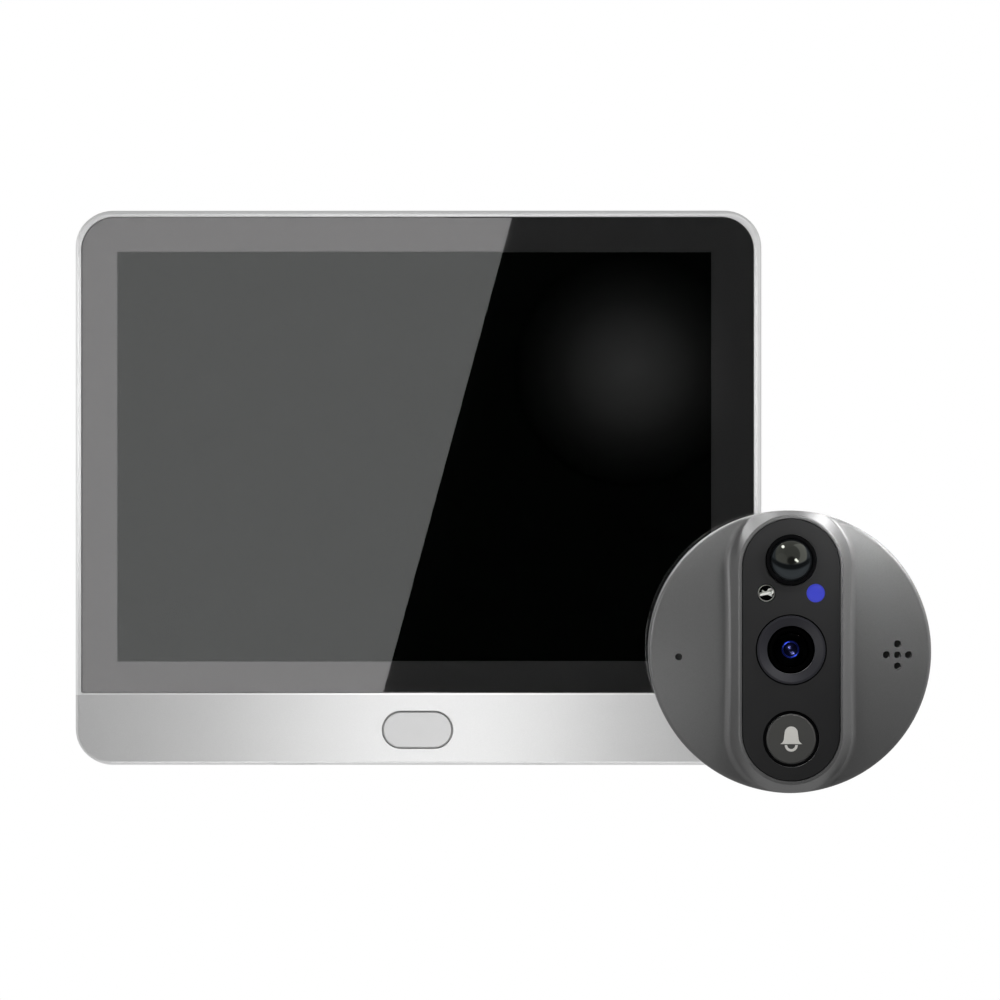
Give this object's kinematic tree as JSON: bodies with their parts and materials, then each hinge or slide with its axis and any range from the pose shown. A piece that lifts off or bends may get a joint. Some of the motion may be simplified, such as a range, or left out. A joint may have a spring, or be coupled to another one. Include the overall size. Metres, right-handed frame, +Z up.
{
  "type": "peephole door camera",
  "caption": "Door viewer camera set: an indoor monitor with screen and key on a hooked steel wall bracket, and a round outdoor camera unit with lens, sensors and call button.",
  "frame": {"origin": "middle of the bracket's four-screw pattern, on the plane of the door's inner face", "axes": "+X right for a person looking at the screen, +Y into the door, +Z up"},
  "size_m": [0.1736, 0.047, 0.118],
  "materials": {
    "satin_silver": "satin silver paint on moulded plastic",
    "silver_key": "smooth light silver key",
    "dark_case": "fine grained dark moulding",
    "bracket_steel": "zinc plated pressed steel",
    "screw_steel": "plated screw",
    "clear_glass": "clear polished glass",
    "black_border": "black printed bonding frame",
    "display_dark": "dark switched-off display",
    "tray_metal": "folded thin tray",
    "board_green": "solder mask",
    "chip_black": "moulded package",
    "connector_ivory": "moulded connector",
    "battery_foil": "foil pouch",
    "speaker_black": "moulded speaker box",
    "capsule_metal": "drawn metal capsule",
    "antenna_copper": "etched copper strip",
    "port_metal": "plated socket shell",
    "switch_black": "moulded switch",
    "knob_black": "ribbed slide knob",
    "soft_black": "soft moulded rubber",
    "grey_paint": "satin dark grey paint with a fine metallic grain",
    "panel_black": "satin black panel",
    "ring_black": "satin black ring",
    "barrel_black": "light-trapping black",
    "lens_glass": "coated optical glass",
    "coated_lens": "optical glass with a blue coating",
    "insert_brass": "turned and threaded brass",
    "dome_dark": "smoked dome",
    "can_metal": "plated metal can",
    "sensor_clear": "clear moulded resin",
    "lamp_blue": "translucent blue resin",
    "lamp_dark": "dark infrared resin",
    "button_grey": "smooth dark grey key",
    "sign_pale": "pale inlay",
    "sensor_chip": "bare image sensor"
  },
  "bodies": {
    "bracket": {"mounting_bracket": "bracket_steel"},
    "monitor": {"front_shell": "satin_silver", "rear_cover": "dark_case", "rear_cover_screws": "screw_steel", "rubber_pads": "soft_black", "display_glass": "clear_glass", "display_gasket": "black_border", "lcd_panel": "display_dark", "backlight_unit": "tray_metal", "main_board": "board_green", "board_screws": "screw_steel", "board_chips": "chip_black", "cable_socket": "connector_ivory", "battery_pack": "battery_foil", "monitor_speaker": "speaker_black", "wifi_antenna": "antenna_copper", "home_button_switch": "switch_black", "key_board": "board_green", "charging_port": "port_metal", "power_switch": "switch_black", "monitor_microphone": "capsule_metal"},
    "home_button": {"home_button": "silver_key"},
    "power_switch_knob": {"power_switch_knob": "knob_black"},
    "camera_unit": {"camera_housing": "grey_paint", "front_panel": "panel_black", "back_plate": "dark_case", "back_plate_screws": "screw_steel", "door_seal": "soft_black", "threaded_inserts": "insert_brass", "cable_grommet": "soft_black", "camera_board": "board_green", "camera_board_screws": "screw_steel", "camera_speaker": "speaker_black", "camera_microphone": "capsule_metal", "cable_header": "connector_ivory", "lens_ring": "ring_black", "lens_barrel": "barrel_black", "front_lens": "lens_glass", "rear_lens": "coated_lens", "lens_holder": "barrel_black", "image_sensor": "sensor_chip", "pir_bezel": "ring_black", "pir_dome": "dome_dark", "pir_sensor": "can_metal", "light_sensor": "sensor_clear", "status_lamp": "lamp_blue", "infrared_lamps": "lamp_dark", "button_seal": "soft_black", "bell_switch": "switch_black"},
    "bell_button": {"bell_button": "button_grey", "bell_icon": "sign_pale"}
  },
  "joints": [
    {"name": "monitor_lift", "type": "slide", "parent": "bracket", "child": "monitor", "axis": [0, 0, 1], "range_m": [0, 0.006]},
    {"name": "home_button_press", "type": "slide", "parent": "monitor", "child": "home_button", "axis": [0, 1, 0], "range_m": [0, 0.0005], "stiffness_N_per_m": 300},
    {"name": "power_switch_slide", "type": "slide", "parent": "monitor", "child": "power_switch_knob", "axis": [1, 0, 0], "range_m": [0, 0.002]},
    {"name": "camera_unit_pull_away", "type": "slide", "parent": "bracket", "child": "camera_unit", "axis": [0, -1, 0], "range_m": [0, 0.06]},
    {"name": "bell_button_press", "type": "slide", "parent": "camera_unit", "child": "bell_button", "axis": [0, 1, 0], "range_m": [0, 0.0005], "stiffness_N_per_m": 300}
  ]
}
